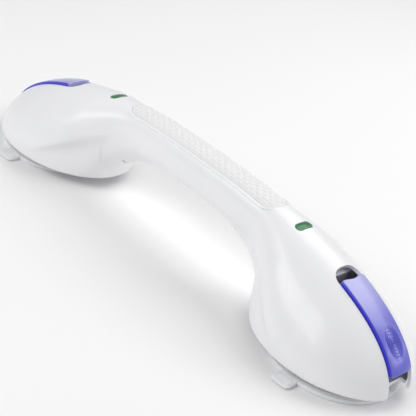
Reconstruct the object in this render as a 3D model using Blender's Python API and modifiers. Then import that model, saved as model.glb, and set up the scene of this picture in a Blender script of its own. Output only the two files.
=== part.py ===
# Suction grab bar: an arched hollow handle between two egg-shaped bells.  Each bell holds
# a rubber suction cup on a steel stem.  A flip lever with two cams lifts the stem off a
# wear plate to draw the vacuum, and a spring-loaded feeler pin turns a two-colour drum
# under a small window.  X runs along the bar, Y across it, and Z points away from the wall.
# The wall is the plane Z = 0, with the origin under the middle of the whole bar, tabs
# included, so the bar's own centre line is half a tab's overhang off Y = 0.
import math

import bmesh
import bpy
from mathutils import Matrix, Vector

MM = 0.001
GAP = 0.3 * MM                    # clearance between pieces that touch
REACH = 300.0 * MM                # farther out than anything in the bar
TALL = 120.0 * MM                 # higher than anything in the bar
STUB = 5.0 * MM                   # how far a cutter stands out of what it cuts

# ---- shell ---------------------------------------------------------------------------
BELL_X = 148.0 * MM               # centre of each bell's rim along the bar
RIM_LENGTH_R = 62.0 * MM          # rim semi-axis along the bar
RIM_WIDTH_R = 50.0 * MM           # rim semi-axis across the bar
RIM_Z = 9.0 * MM                  # rim height over the wall
RIDGE_RISE = 71.0 * MM            # crown of the handle over the rim
RIDGE_POWER = 2.5                 # how long the ridge stays flat before it falls
RIDGE_ROOT = 0.51                 # how steeply the ridge ends
GRIP_HALF_W = 16.5 * MM           # half width of the handle
ARCH_RISE = RIDGE_RISE - 2.0 * GRIP_HALF_W      # the handle is as deep as it is wide
ARCH_POWER = 2.5
ARCH_ROOT = 0.62
RIM_START = BELL_X - RIM_LENGTH_R  # inner end of the bell's rim
FLARE_START = RIM_START - 24.0 * MM        # the handle widens into the bell between these two
FLARE_END = BELL_X - 8.0 * MM
SIDE_RISE = 0.7 * RIDGE_RISE      # widest level of the handle over the rim
SIDE_FALL_START = RIM_START - 28.0 * MM    # the widest level sinks to the rim between these two
SIDE_FALL_END = BELL_X + 10.0 * MM
SKIRT_RISE = 2.4 * MM             # upright skirt above the rim
SCOOP = 3.3 * MM                  # hollow below the crease where the handle meets the bell
SCOOP_START = (RIM_START - 14.0 * MM, RIM_START + 6.0 * MM)
SCOOP_END = (BELL_X - 44.0 * MM, BELL_X - 12.0 * MM)
CROWN_POWER = (2.65, 1.75)        # fullness of the upper half section, handle and bell
CROWN_FADE = (BELL_X - 108.0 * MM, BELL_X - 8.0 * MM)     # it changes between these two
WALL = 2.5 * MM
GRIP_STATIONS = 9
BELL_STATIONS = 18
UPPER_POINTS = 10
LOWER_POINTS = 6

# ---- handle cover and grip panel -------------------------------------------------------
COVER_HALF_L = RIM_START - 14.0 * MM
COVER_HALF_W = GRIP_HALF_W - 7.5 * MM
COVER_WALL = 2.0 * MM
PANEL_HALF_L = RIM_START - 8.0 * MM
PANEL_HALF_W = GRIP_HALF_W - 6.0 * MM
PANEL_THICK = 1.2 * MM
PANEL_PROUD = 0.4 * MM
COVER_SCREWS_X = (-0.5 * COVER_HALF_L, 0.0, 0.5 * COVER_HALF_L)
BOSS_R = 3.2 * MM
COVER_PAD_R = 5.0 * MM            # thicker spots of the cover, counterbored for its screws
COVER_PAD_T = 2.2 * MM

# ---- suction cup and stem --------------------------------------------------------------
CUP_X = BELL_X + 7.0 * MM         # cup, stem and lever pin are all on this line
CUP_R = RIM_WIDTH_R - 2.5 * MM
CUP_LIP_T = 3.0 * MM
CUP_TOP_Z = 7.4 * MM
CUP_FACE_R = CUP_R - 13.5 * MM    # inner edge of the flat sealing face
CUP_HOLLOW = 1.8 * MM
TAB_ANGLE = math.radians(-90.0)   # the pull tab points straight across the bar
TAB_REACH = CUP_R + 10.5 * MM
TAB_HALF_W = 8.0 * MM
TAB_T = 2.2 * MM
STEM_FLANGE_R = 10.0 * MM
STEM_FLANGE_T = 1.5 * MM
STEM_FOOT = 3.6 * MM              # how deep the stem's foot sits in the cup
STEM_TRAVEL = 3.5 * MM            # how far the cams lift the stem

# ---- base plate ------------------------------------------------------------------------
PLATE_Z = RIM_Z + 1.0 * MM
PLATE_T = 2.6 * MM
PLATE_GAP = 1.1 * MM              # clear of the shell's inner wall
PRESS_RING_R = CUP_R - 5.5 * MM   # ring that backs the cup's edge
PRESS_RING_W = 2.4 * MM
INNER_SCREWS = (CUP_X - 43.0 * MM, RIM_WIDTH_R - 20.0 * MM)
OUTER_SCREWS = (CUP_X + 21.0 * MM, RIM_WIDTH_R - 22.0 * MM)
PLATE_SCREWS = [(x, side * y) for x, y in (INNER_SCREWS, OUTER_SCREWS) for side in (1, -1)]
PLATE_NOTCH_X = BELL_X + RIM_LENGTH_R - 10.0 * MM          # the lever's tip comes down past it
SCREW_HEAD_R = 3.0 * MM
SCREW_HEAD_T = 1.6 * MM
SCREW_R = 1.4 * MM
SCREW_L = 7.0 * MM

# ---- lever, its pin and the cam housing ------------------------------------------------
SLOT_HALF_W = 12.2 * MM
SLOT_START = CUP_X - 16.5 * MM
SLOT_CORNER_R = 5.0 * MM
LEVER_SIDE_GAP = 1.0 * MM
LEVER_START = CUP_X - 7.3 * MM
LEVER_END = BELL_X + RIM_LENGTH_R - 3.4 * MM
LEVER_PROUD = 0.9 * MM            # lever top over the ridge line
LEVER_SKIN = 3.0 * MM
LEVER_DEPTH = 6.5 * MM
LEVER_WALL = 2.2 * MM
LEVER_STATIONS = 14
LEVER_OPEN = math.radians(95.0)
CAM_STEPS = 20
POCKET_STEPS = 24
TOWER_REACH = (5.5 * MM, 9.0 * MM)       # inwards and outwards from the stem
WEAR_REACH = (5.2 * MM, 8.0 * MM)
FOOT_L = 20.0 * MM
PIN_DEPTH = 11.0 * MM             # lever pin under the ridge line
PIN_R = 2.0 * MM
CAM_R = 8.5 * MM                  # cam reach at the locked position
CAM_NECK = 4.5 * MM               # inner side of the cam's neck, clear of the wear plate
EAR_Y = SLOT_HALF_W - 5.7 * MM
EAR_T = 3.0 * MM
EYE_HALF_W = EAR_Y - 0.5 * EAR_T - 0.8 * MM
STEM_R = min(3.6 * MM, EYE_HALF_W)       # passes between the ears
WEAR_T = 1.5 * MM
HOUSING_HALF_W = SLOT_HALF_W - GAP
SWING_GAP = 0.8 * MM

# ---- vacuum indicator ------------------------------------------------------------------
FEELER_X = RIM_START + 13.5 * MM
FEELER_R = 1.7 * MM
FEELER_TIP_Z = 0.4 * MM
FEELER_TRAVEL = 4.0 * MM
FEELER_COLLAR_R = 3.4 * MM
FEELER_COLLAR_Z = 24.0 * MM
SPRING_R = 3.2 * MM
SPRING_WIRE = 0.45 * MM
SPRING_TURNS = 4
SPRING_L = 14.0 * MM
ARM_HALF_L = 3.0 * MM             # fork arms beside the drum
ARM_T = 1.8 * MM
DRUM_R = 6.0 * MM
DRUM_HALF_W = 6.5 * MM
DRUM_SINK = 1.2 * MM              # drum under the lens
DRUM_SHAFT_R = 1.2 * MM
WINDOW_HALF_L = 3.1 * MM          # along the bar
WINDOW_HALF_W = 7.6 * MM          # across the bar
LENS_T = 2.0 * MM
LENS_SINK = 0.8 * MM


def smooth(t):
    t = min(max(t, 0.0), 1.0)
    return t * t * (3.0 - 2.0 * t)


def ridge_z(x):
    """Height of the shell's outer ridge at a place along the bar."""
    share = min(abs(x) / (BELL_X + RIM_LENGTH_R), 1.0)
    return RIM_Z + RIDGE_RISE * (1.0 - share ** RIDGE_POWER) ** RIDGE_ROOT


PIN_Z = ridge_z(CUP_X) - PIN_DEPTH


def rim_half(x):
    """Half width of the bell's rim ellipse, zero outside it."""
    share = (abs(x) - BELL_X) / RIM_LENGTH_R
    return RIM_WIDTH_R * math.sqrt(max(1.0 - share * share, 0.0))


def side_half(x):
    """Half width of the shell at its widest level."""
    x = abs(x)
    if x > BELL_X:
        return rim_half(x)
    flare = smooth((x - FLARE_START) / (FLARE_END - FLARE_START))
    return max(GRIP_HALF_W + (RIM_WIDTH_R - GRIP_HALF_W) * flare, rim_half(x))


def side_z(x):
    """Widest level of the section."""
    fall = smooth((abs(x) - SIDE_FALL_START) / (SIDE_FALL_END - SIDE_FALL_START))
    return RIM_Z + SKIRT_RISE + (SIDE_RISE - SKIRT_RISE) * (1.0 - fall)


def arch_z(x):
    """Underside of the handle, which lands on the rim at the inner end of the bell."""
    share = min(abs(x) / RIM_START, 1.0)
    return RIM_Z + ARCH_RISE * (1.0 - share ** ARCH_POWER) ** ARCH_ROOT


def crown_power(x):
    fade = smooth((abs(x) - CROWN_FADE[0]) / (CROWN_FADE[1] - CROWN_FADE[0]))
    return CROWN_POWER[0] + (CROWN_POWER[1] - CROWN_POWER[0]) * fade


def surface_z(x, y):
    """Height of the upper surface over a point."""
    power = crown_power(x)
    share = min(abs(y) / side_half(x), 1.0)
    return side_z(x) + (ridge_z(x) - side_z(x)) * (1.0 - share ** power) ** (1.0 / power)


def cover_z(x, y):
    """Height of the handle's underside over a point."""
    share = min(abs(y) / GRIP_HALF_W, 1.0)
    return side_z(x) - (side_z(x) - arch_z(x)) * math.sqrt(1.0 - share * share)


def scoop(x, turn):
    """Inward hollow of the lower wall: t (1 - t)^4, scaled to 1 at its deepest, t = 1/5."""
    x = abs(x)
    grown = smooth((x - SCOOP_START[0]) / (SCOOP_START[1] - SCOOP_START[0]))
    gone = smooth((x - SCOOP_END[0]) / (SCOOP_END[1] - SCOOP_END[0]))
    share = turn / (0.5 * math.pi)
    return SCOOP * grown * (1.0 - gone) * share * (1.0 - share) ** 4 * 5.0 ** 5 / 4.0 ** 4


def half_section(x):
    """Outer points of the half section at +Y, from the ridge round to the rim."""
    top, wide, level, low = ridge_z(x), side_half(x), side_z(x), arch_z(x)
    rim = rim_half(x)
    power = crown_power(x)
    points = []
    for i in range(UPPER_POINTS):
        a = 0.5 * math.pi * i / (UPPER_POINTS - 1)
        points.append((wide * math.sin(a) ** (2.0 / power),
                       level + (top - level) * math.cos(a) ** (2.0 / power)))
    for i in range(1, LOWER_POINTS + 1):
        a = 0.5 * math.pi * i / LOWER_POINTS
        points.append((rim + (wide - rim) * math.cos(a) - scoop(x, a) if i < LOWER_POINTS else rim,
                       level - (level - low) * math.sin(a)))
    return points


# ---- helpers -----------------------------------------------------------------------------
def clear_scene():
    for obj in list(bpy.data.objects):
        bpy.data.objects.remove(obj)


def new_collection(name):
    group = bpy.data.collections.new(name)
    bpy.context.scene.collection.children.link(group)
    return group


def material(name, colour, roughness, metallic=0.0):
    mat = bpy.data.materials.new(name)
    mat.use_nodes = True
    shader = mat.node_tree.nodes["Principled BSDF"]
    shader.inputs["Base Color"].default_value = (*colour, 1.0)
    shader.inputs["Roughness"].default_value = roughness
    shader.inputs["Metallic"].default_value = metallic
    return mat


def adopt(obj, name, group, mat=None):
    """Name an object, move it to one collection and give it a material."""
    obj.name = name
    obj.data.name = name
    for old in list(obj.users_collection):
        old.objects.unlink(obj)
    group.objects.link(obj)
    if mat:
        obj.data.materials.clear()
        obj.data.materials.append(mat)
    if group is CUTTERS:
        obj.hide_render = True
        obj.display_type = "WIRE"
    return obj


def from_bmesh(bm, name, group, mat=None):
    bmesh.ops.recalc_face_normals(bm, faces=bm.faces)
    mesh = bpy.data.meshes.new(name)
    bm.to_mesh(mesh)
    bm.free()
    return adopt(bpy.data.objects.new(name, mesh), name, group, mat)


def round_shading(obj, degrees=35.0):
    obj.data.shade_smooth()
    obj.data.set_sharp_from_angle(angle=math.radians(degrees))


def box(name, low, high, group, mat=None):
    """A box between two corners."""
    bm = bmesh.new()
    bmesh.ops.create_cube(bm, size=1.0)
    size = [b - a for a, b in zip(low, high)]
    middle = [(a + b) / 2.0 for a, b in zip(low, high)]
    for v in bm.verts:
        v.co = Vector(m + c * s for m, c, s in zip(middle, v.co, size))
    return from_bmesh(bm, name, group, mat)


def rod(name, start, axis, length, radius, group, mat=None, segments=20, tip=None):
    """A cylinder, or a cone where a tip radius is given, from a start point along an axis."""
    bm = bmesh.new()
    bmesh.ops.create_cone(bm, cap_ends=True, segments=segments, radius1=radius,
                          radius2=radius if tip is None else tip, depth=length)
    turn = Vector((0.0, 0.0, 1.0)).rotation_difference(Vector(axis)).to_matrix().to_4x4()
    place = Matrix.Translation(Vector(start) + Vector(axis) * (length / 2.0)) @ turn
    bmesh.ops.transform(bm, matrix=place, verts=bm.verts)
    return from_bmesh(bm, name, group, mat)


def turned(name, profile, centre, group, mat=None, steps=32):
    """A turned solid: a profile of (radius, z) points, top to bottom, swept by a Screw."""
    mesh = bpy.data.meshes.new(name)
    points = [(r, 0.0, z) for r, z in profile]
    mesh.from_pydata(points, [(i, i + 1) for i in range(len(points) - 1)], [])
    obj = adopt(bpy.data.objects.new(name, mesh), name, group, mat)
    obj.location = centre
    screw = obj.modifiers.new("turn", "SCREW")
    screw.axis = "Z"
    screw.angle = 2.0 * math.pi
    screw.steps = steps
    screw.render_steps = steps
    screw.use_merge_vertices = True
    screw.merge_threshold = 0.00001
    screw.use_smooth_shade = True
    return obj


def plate_outline(name, points, axis, low, high, group, mat=None):
    """A flat outline extruded along Z or Y between two levels."""
    bm = bmesh.new()
    if axis == "Z":
        verts = [bm.verts.new((x, y, low)) for x, y in points]
        push = Vector((0.0, 0.0, high - low))
    else:
        verts = [bm.verts.new((x, low, z)) for x, z in points]
        push = Vector((0.0, high - low, 0.0))
    face = bm.faces.new(verts)
    made = bmesh.ops.extrude_face_region(bm, geom=[face])
    moved = [g for g in made["geom"] if isinstance(g, bmesh.types.BMVert)]
    bmesh.ops.translate(bm, vec=push, verts=moved)
    return from_bmesh(bm, name, group, mat)


def boolean(obj, other, how="DIFFERENCE"):
    mod = obj.modifiers.new(other.name, "BOOLEAN")
    mod.operation = how
    mod.solver = "EXACT"
    mod.object = other
    return mod


def bevel(obj, width, degrees=40.0, segments=1):
    mod = obj.modifiers.new("edges", "BEVEL")
    mod.width = width
    mod.segments = segments
    mod.limit_method = "ANGLE"
    mod.angle_limit = math.radians(degrees)
    return mod


def loft(name, rings, group, mat=None, closed=True):
    """A skin through rings of equal length; closed rings also get both end caps."""
    bm = bmesh.new()
    rows = [[bm.verts.new(p) for p in ring] for ring in rings]
    count = len(rows[0])
    for a, b in zip(rows, rows[1:]):
        for i in range(count if closed else count - 1):
            j = (i + 1) % count
            bm.faces.new((a[i], a[j], b[j], b[i]))
    if closed:
        bm.faces.new(list(reversed(rows[0])))
        bm.faces.new(rows[-1])
    return from_bmesh(bm, name, group, mat)


def side_name(stem, side):
    return f"{stem}_{'right' if side > 0 else 'left'}"


# ---- shared pieces -------------------------------------------------------------------------
def shell_stations():
    """Even steps along the handle, then even steps round the rim ellipse."""
    half = [RIM_START * i / GRIP_STATIONS for i in range(GRIP_STATIONS)]
    for i in range(BELL_STATIONS):
        half.append(BELL_X - RIM_LENGTH_R * math.cos(math.pi * i / BELL_STATIONS))
    return [-x for x in reversed(half[1:])] + half


def build_shell(mat):
    """Upper shell: one hollow skin over both bells and the handle, slotted for the levers."""
    rings = [[(x, y, z) for y, z in half_section(x)] for x in shell_stations()]
    shell = loft("upper_shell", rings, PARTS, mat, closed=False)
    mirror = shell.modifiers.new("other_side", "MIRROR")
    mirror.use_axis = (False, True, False)
    mirror.use_clip = True
    mirror.merge_threshold = 0.00005
    wall = shell.modifiers.new("wall", "SOLIDIFY")
    wall.thickness = WALL
    wall.offset = -1.0
    wall.use_even_offset = False
    for side in (-1, 1):
        slot = box(side_name("slot_cut", side),
                   (min(side * SLOT_START, side * REACH), -SLOT_HALF_W, 0.0),
                   (max(side * SLOT_START, side * REACH), SLOT_HALF_W, TALL), CUTTERS)
        bevel(slot, SLOT_CORNER_R, 80.0, 3)
        boolean(shell, slot)
        boolean(shell, window_cutter(side))
    low = 0.0
    cover_cut = box("cover_cut", (-COVER_HALF_L - GAP, -COVER_HALF_W - GAP, low),
                    (COVER_HALF_L + GAP, COVER_HALF_W + GAP, side_z(0.0)), CUTTERS)
    boolean(shell, cover_cut)
    boolean(shell, panel_solid("panel_seat", CUTTERS, None, GAP, 3.0 * MM, PANEL_THICK + GAP))
    for i, x in enumerate(COVER_SCREWS_X):
        top = ridge_z(x) - WALL * 0.5 - PANEL_THICK
        foot = cover_seat(x) + COVER_WALL + COVER_PAD_T + GAP
        boss = rod(f"boss_{i}", (x, 0.0, foot), (0, 0, 1), top - foot, BOSS_R, CUTTERS,
                   segments=12)
        hole = rod(f"boss_hole_{i}", (x, 0.0, foot - GAP), (0, 0, 1), SCREW_L, SCREW_R + GAP,
                   CUTTERS, segments=12)
        boolean(shell, boss, "UNION")
        boolean(shell, hole)
    round_shading(shell)
    return shell


def window_cutter(side):
    """Rounded slot across the ridge for the indicator window."""
    cut = lens_block(side_name("window_cut", side), side, GAP, 2.0 * STUB, 2.0 * STUB, CUTTERS)
    return cut


def lens_block(name, side, grow, up, down, group, mat=None):
    """Upright capsule block over the feeler line, measured from the shell's surface."""
    x = side * FEELER_X
    half_l, half_w = WINDOW_HALF_L + grow, WINDOW_HALF_W + grow
    points = []
    for i in range(16):
        a = 2.0 * math.pi * (i + 0.5) / 16
        shift = (half_w - half_l) if math.sin(a) > 0 else -(half_w - half_l)
        points.append((x + half_l * math.cos(a), shift + half_l * math.sin(a)))
    level = ridge_z(x)
    return plate_outline(name, points, "Z", level - down, level + up, group, mat)


def panel_solid(name, group, mat, grow, rise, depth):
    """Stadium-shaped inlay on the ridge of the handle, following the shell's surface."""
    rings = []
    steps = 20
    across = (-1.0, -0.75, -0.4, 0.0, 0.4, 0.75, 1.0)
    half_l = PANEL_HALF_L + grow
    for i in range(steps + 1):
        x = half_l * math.sin(math.radians(-88.0 + 176.0 * i / steps))
        end = min(abs(x) / half_l, 1.0)
        half_w = (PANEL_HALF_W + grow) * (1.0 - end ** 8) ** 0.5
        ring = [(x, share * half_w, surface_z(x, share * half_w) + rise) for share in across]
        ring += [(x, y, z - rise - depth) for x, y, z in reversed(ring)]
        rings.append(ring)
    return loft(name, rings, group, mat)


def cover_seat(x):
    """Lowest level of the handle's underside within a screw head's reach."""
    return cover_z(abs(x) + SCREW_HEAD_R, 0.0)


def build_cover(mat):
    """Underside cover of the handle, an arched strip with screw holes."""
    rings = []
    steps = 18
    for i in range(steps + 1):
        x = COVER_HALF_L * (2.0 * i / steps - 1.0)
        ys = [COVER_HALF_W * (j / 3.0 - 1.0) for j in range(7)]
        ring = [(x, y, cover_z(x, y) + COVER_WALL) for y in ys]
        ring += [(x, y, cover_z(x, y)) for y in reversed(ys)]
        rings.append(ring)
    cover = loft("handle_cover", rings, PARTS, mat)
    for i, x in enumerate(COVER_SCREWS_X):
        seat = cover_seat(x) + SCREW_HEAD_T
        boolean(cover, rod(f"cover_pad_{i}", (x, 0.0, seat), (0, 0, 1),
                           COVER_WALL + COVER_PAD_T - SCREW_HEAD_T, COVER_PAD_R, CUTTERS), "UNION")
        boolean(cover, rod(f"cover_sink_{i}", (x, 0.0, seat - 2.0 * STUB), (0, 0, 1),
                           2.0 * STUB, SCREW_HEAD_R + GAP, CUTTERS))
        hole = rod(f"cover_hole_{i}", (x, 0.0, cover_z(x, 0.0) - STUB), (0, 0, 1), 3.0 * STUB,
                   SCREW_R + GAP, CUTTERS, segments=12)
        boolean(cover, hole)
    round_shading(cover)
    return cover


def build_screw(name, foot, mat):
    """Pan-head screw that stands upright, head down, with its head's seat at the foot point."""
    profile = [(0.0, SCREW_L), (SCREW_R, SCREW_L - 0.5 * MM), (SCREW_R, 0.0),
               (SCREW_HEAD_R, 0.0), (SCREW_HEAD_R, -0.6 * SCREW_HEAD_T),
               (0.6 * SCREW_HEAD_R, -SCREW_HEAD_T), (0.0, -SCREW_HEAD_T)]
    return turned(name, profile, foot, PARTS, mat, steps=10)


# ---- pieces of one bell ----------------------------------------------------------------------
def build_base_plate(side, mat):
    """Plate that closes the bell, with the ring that backs the cup and the guide bores."""
    inset = WALL + PLATE_GAP
    points = []
    for i in range(40):
        a = 2.0 * math.pi * i / 40
        points.append((side * (BELL_X + (RIM_LENGTH_R - inset) * math.cos(a)),
                       (RIM_WIDTH_R - inset) * math.sin(a)))
    plate = plate_outline(side_name("base_plate", side), points, "Z", PLATE_Z,
                          PLATE_Z + PLATE_T, PARTS, mat)
    low = cup_top(PRESS_RING_R) + GAP
    ring = turned(side_name("press_ring", side),
                  [(PRESS_RING_R + PRESS_RING_W / 2, PLATE_Z + PLATE_T / 2),
                   (PRESS_RING_R + PRESS_RING_W / 2, low), (PRESS_RING_R - PRESS_RING_W / 2, low),
                   (PRESS_RING_R - PRESS_RING_W / 2, PLATE_Z + PLATE_T / 2),
                   (PRESS_RING_R + PRESS_RING_W / 2, PLATE_Z + PLATE_T / 2)],
                  (side * CUP_X, 0.0, 0.0), CUTTERS, steps=32)
    boolean(plate, ring, "UNION")
    tube = rod(side_name("feeler_guide", side), (side * FEELER_X, 0.0, PLATE_Z + 0.5 * PLATE_T),
               (0, 0, 1), 6.0 * MM, FEELER_R + 1.6 * MM, CUTTERS)
    boolean(plate, tube, "UNION")
    boolean(plate, rod(side_name("stem_bore", side), (side * CUP_X, 0.0, 0.0), (0, 0, 1), TALL,
                       STEM_R + 2.0 * GAP, CUTTERS))
    boolean(plate, rod(side_name("feeler_bore", side), (side * FEELER_X, 0.0, 0.0), (0, 0, 1),
                       TALL, FEELER_R + GAP, CUTTERS))
    for i, (x, y) in enumerate(PLATE_SCREWS):
        boolean(plate, rod(side_name(f"plate_hole_{i}", side), (side * x, y, 0.0), (0, 0, 1),
                           TALL, SCREW_R + GAP, CUTTERS, segments=12))
    boolean(plate, box(side_name("plate_notch", side),
                       (min(side * PLATE_NOTCH_X, side * REACH), -SLOT_HALF_W, 0.0),
                       (max(side * PLATE_NOTCH_X, side * REACH), SLOT_HALF_W, TALL), CUTTERS))
    return plate


def cup_top(radius):
    """Height of the cup's upper face: a cone from the lip up to the boss."""
    inner, outer = 16.0 * MM, CUP_R
    share = min(max((radius - inner) / (outer - inner), 0.0), 1.0)
    return 6.0 * MM + (CUP_LIP_T - 6.0 * MM) * share


def build_cup(side, mat):
    """Rubber cup with a flat sealing face, a shallow hollow, a boss and a pull tab."""
    sink = CUP_TOP_Z - STEM_FOOT
    profile = [(0.0, sink), (STEM_R + GAP, sink), (STEM_R + GAP, CUP_TOP_Z), (12.0 * MM, CUP_TOP_Z),
               (14.0 * MM, 6.2 * MM), (16.0 * MM, cup_top(16.0 * MM)),
               (30.0 * MM, cup_top(30.0 * MM)), (CUP_R - 0.6 * MM, CUP_LIP_T),
               (CUP_R, CUP_LIP_T - 0.6 * MM), (CUP_R, 0.5 * MM), (CUP_R - 0.5 * MM, 0.0),
               (CUP_FACE_R, 0.0), (CUP_FACE_R - 3.0 * MM, CUP_HOLLOW), (0.0, CUP_HOLLOW)]
    cup = turned(side_name("suction_cup", side), profile, (side * CUP_X, 0.0, 0.0), PARTS, mat,
                 steps=44)
    along = Vector((math.cos(TAB_ANGLE), math.sin(TAB_ANGLE), 0.0))
    across = Vector((-along.y, along.x, 0.0))
    start = CUP_R - 3.0 * MM
    outline = [(start, -TAB_HALF_W * 1.1), (start + 6.0 * MM, -TAB_HALF_W)]
    for i in range(7):
        a = math.radians(-90.0 + 30.0 * i)
        outline.append((TAB_REACH - 0.35 * TAB_HALF_W + 0.35 * TAB_HALF_W * math.cos(a),
                        TAB_HALF_W * math.sin(a)))
    outline += [(start + 6.0 * MM, TAB_HALF_W), (start, TAB_HALF_W * 1.1)]
    centre = Vector((side * CUP_X, 0.0, 0.0))
    points = [(centre + along * u + across * v).to_2d() for u, v in outline]
    tab = plate_outline(side_name("tab", side), points, "Z", 0.3 * MM, 0.3 * MM + TAB_T, CUTTERS)
    boolean(cup, tab, "UNION")
    return cup


def build_stem(side, mat):
    """Steel stem: foot in the cup, flange on the boss, shaft and a flat eye for the pin."""
    foot = CUP_TOP_Z - STEM_FOOT + GAP
    seat = CUP_TOP_Z + GAP
    eye = PIN_Z - 4.5 * MM
    profile = [(0.0, eye + 2.0 * MM), (STEM_R, eye + 2.0 * MM), (STEM_R, seat + STEM_FLANGE_T),
               (STEM_FLANGE_R, seat + STEM_FLANGE_T), (STEM_FLANGE_R, seat), (STEM_R, seat),
               (STEM_R, foot), (0.0, foot)]
    stem = turned(side_name("cup_stem", side), profile, (side * CUP_X, 0.0, 0.0), PARTS, mat,
                  steps=24)
    ring = rod(side_name("eye", side), (side * CUP_X, -EYE_HALF_W, PIN_Z), (0, 1, 0),
               2.0 * EYE_HALF_W, 4.6 * MM, CUTTERS, segments=24)
    boolean(stem, ring, "UNION")
    boolean(stem, rod(side_name("eye_bore", side), (side * CUP_X, -REACH, PIN_Z), (0, 1, 0), 2.0 * REACH,
                      PIN_R + GAP, CUTTERS, segments=20))
    return stem


def lever_top(x):
    return ridge_z(x) + LEVER_PROUD


def lever_ring(x, slope):
    """Channel section of the lever, square to the ridge line."""
    half = SLOT_HALF_W - LEVER_SIDE_GAP
    inner = half - LEVER_WALL
    crown = 0.9 * MM
    section = [(-half, -LEVER_DEPTH), (-half, -crown - 0.6 * MM), (-half + 0.8 * MM, -crown),
               (-0.5 * half, -0.25 * crown), (0.0, 0.0), (0.5 * half, -0.25 * crown),
               (half - 0.8 * MM, -crown), (half, -crown - 0.6 * MM), (half, -LEVER_DEPTH),
               (inner, -LEVER_DEPTH), (inner, -LEVER_SKIN - crown), (-inner, -LEVER_SKIN - crown),
               (-inner, -LEVER_DEPTH)]
    normal = Vector((-slope, 0.0, 1.0)).normalized()
    base = Vector((x, 0.0, lever_top(x)))
    return [base + normal * d + Vector((0.0, y, 0.0)) for y, d in section]


def build_lever(side, mat):
    """Flip lever: arched channel, closed outer end, and two cam ears round the pin."""
    pivot = Vector((CUP_X, 0.0, PIN_Z))
    rings = []
    for i in range(LEVER_STATIONS + 1):
        share = math.sin(0.5 * math.pi * i / LEVER_STATIONS)
        x = LEVER_START + (LEVER_END - LEVER_START) * share
        step = 0.05 * MM
        slope = (lever_top(x + step) - lever_top(x - step)) / (2.0 * step)
        rings.append([Vector(p) - pivot for p in lever_ring(x, slope)])
    flip = Matrix.Diagonal((side, 1.0, 1.0, 1.0))
    lever = loft(side_name("lever", side), [[flip @ p for p in ring] for ring in rings], PARTS,
                 mat)
    lever.location = (side * CUP_X, 0.0, PIN_Z)
    for y in (-EAR_Y, EAR_Y):
        ear = plate_outline(side_name("ear", side), [(side * x, z) for x, z in cam_outline()],
                            "Y", y - EAR_T / 2, y + EAR_T / 2, CUTTERS)
        ear.location = lever.location
        boolean(lever, ear, "UNION")
    bore_half = SLOT_HALF_W - LEVER_SIDE_GAP - LEVER_WALL + STUB * 0.1
    boolean(lever, rod(side_name("lever_bore", side), (side * CUP_X, -bore_half, PIN_Z),
                       (0, 1, 0), 2.0 * bore_half, PIN_R + GAP, CUTTERS, segments=20))
    return lever


def cam_outline():
    """Cam about the pin, drawn as the envelope of the flat wear plate: the plate's distance
    from the pin falls evenly as the lever opens."""
    points = []
    fall = STEM_TRAVEL / LEVER_OPEN
    for i in range(CAM_STEPS + 1):
        turn = LEVER_OPEN * 1.1 * (1.0 - i / CAM_STEPS)
        angle = math.radians(-90.0) - turn
        reach = CAM_R - fall * turn
        points.append((reach * math.cos(angle) - fall * math.sin(angle),
                       reach * math.sin(angle) + fall * math.cos(angle)))
    points.append((CAM_R * 0.5, -CAM_R * 0.78))
    points.append((CAM_R * 0.85, 0.0))
    neck = lever_top(CUP_X + 8.0 * MM) - PIN_Z - LEVER_SKIN
    points.append((8.0 * MM, neck))
    points.append((-CAM_NECK, lever_top(CUP_X - CAM_NECK) - PIN_Z - LEVER_SKIN))
    return points


def corner_swing():
    """Farthest that the lever's inner top corner gets from the pin's locked place."""
    reach = 0.0
    for i in range(POCKET_STEPS + 1):
        turn = LEVER_OPEN * i / POCKET_STEPS
        along, up = LEVER_START - CUP_X, lever_top(LEVER_START) - PIN_Z
        drop = STEM_TRAVEL * turn / LEVER_OPEN
        reach = max(reach, math.hypot(along * math.cos(turn) - up * math.sin(turn),
                                      along * math.sin(turn) + up * math.cos(turn) - drop))
    return reach


def build_housing(side, mat):
    """Grey cam housing under the slot: inner wall, clearance pocket and bearing tower."""
    swing = corner_swing() + SWING_GAP
    floor = PIN_Z - CAM_R - GAP - WEAR_T - GAP
    foot = PLATE_Z + PLATE_T + GAP
    deep = PIN_Z - CAM_R - 2.0 * STEM_TRAVEL
    back = CUP_X - swing - 2.6 * MM
    points = [(back, foot), (CUP_X + FOOT_L, foot), (CUP_X + FOOT_L, foot + 8.0 * MM),
              (CUP_X + TOWER_REACH[1], floor), (CUP_X - TOWER_REACH[0], floor),
              (CUP_X - TOWER_REACH[0], deep)]
    low = math.asin((PIN_Z - deep - 4.0 * MM) / swing)
    points.append((CUP_X - swing * math.cos(low), deep))
    for i in range(POCKET_STEPS + 1):
        a = math.pi + low - (low + math.radians(30.0)) * i / POCKET_STEPS
        points.append((CUP_X + swing * math.cos(a), PIN_Z + swing * math.sin(a)))
    top = surface_z(back, HOUSING_HALF_W) - WALL * 1.6
    points.append((back, top))
    housing = plate_outline(side_name("cam_housing", side), [(side * x, z) for x, z in points],
                            "Y", -HOUSING_HALF_W, HOUSING_HALF_W, PARTS, mat)
    boolean(housing, rod(side_name("tower_bore", side), (side * CUP_X, 0.0, 0.0), (0, 0, 1), TALL,
                         STEM_R + 2.0 * GAP, CUTTERS))
    return housing


def build_wear_plate(side, mat):
    """Steel plate on the housing that the cams slide on."""
    top = PIN_Z - CAM_R - GAP
    ends = sorted((side * (CUP_X - WEAR_REACH[0]), side * (CUP_X + WEAR_REACH[1])))
    half = EAR_Y + EAR_T
    plate = box(side_name("wear_plate", side), (ends[0], -half, top - WEAR_T),
                (ends[1], half, top), PARTS, mat)
    boolean(plate, rod(side_name("wear_bore", side), (side * CUP_X, 0.0, 0.0), (0, 0, 1), TALL,
                       STEM_R + 2.0 * GAP, CUTTERS))
    return plate


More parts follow.
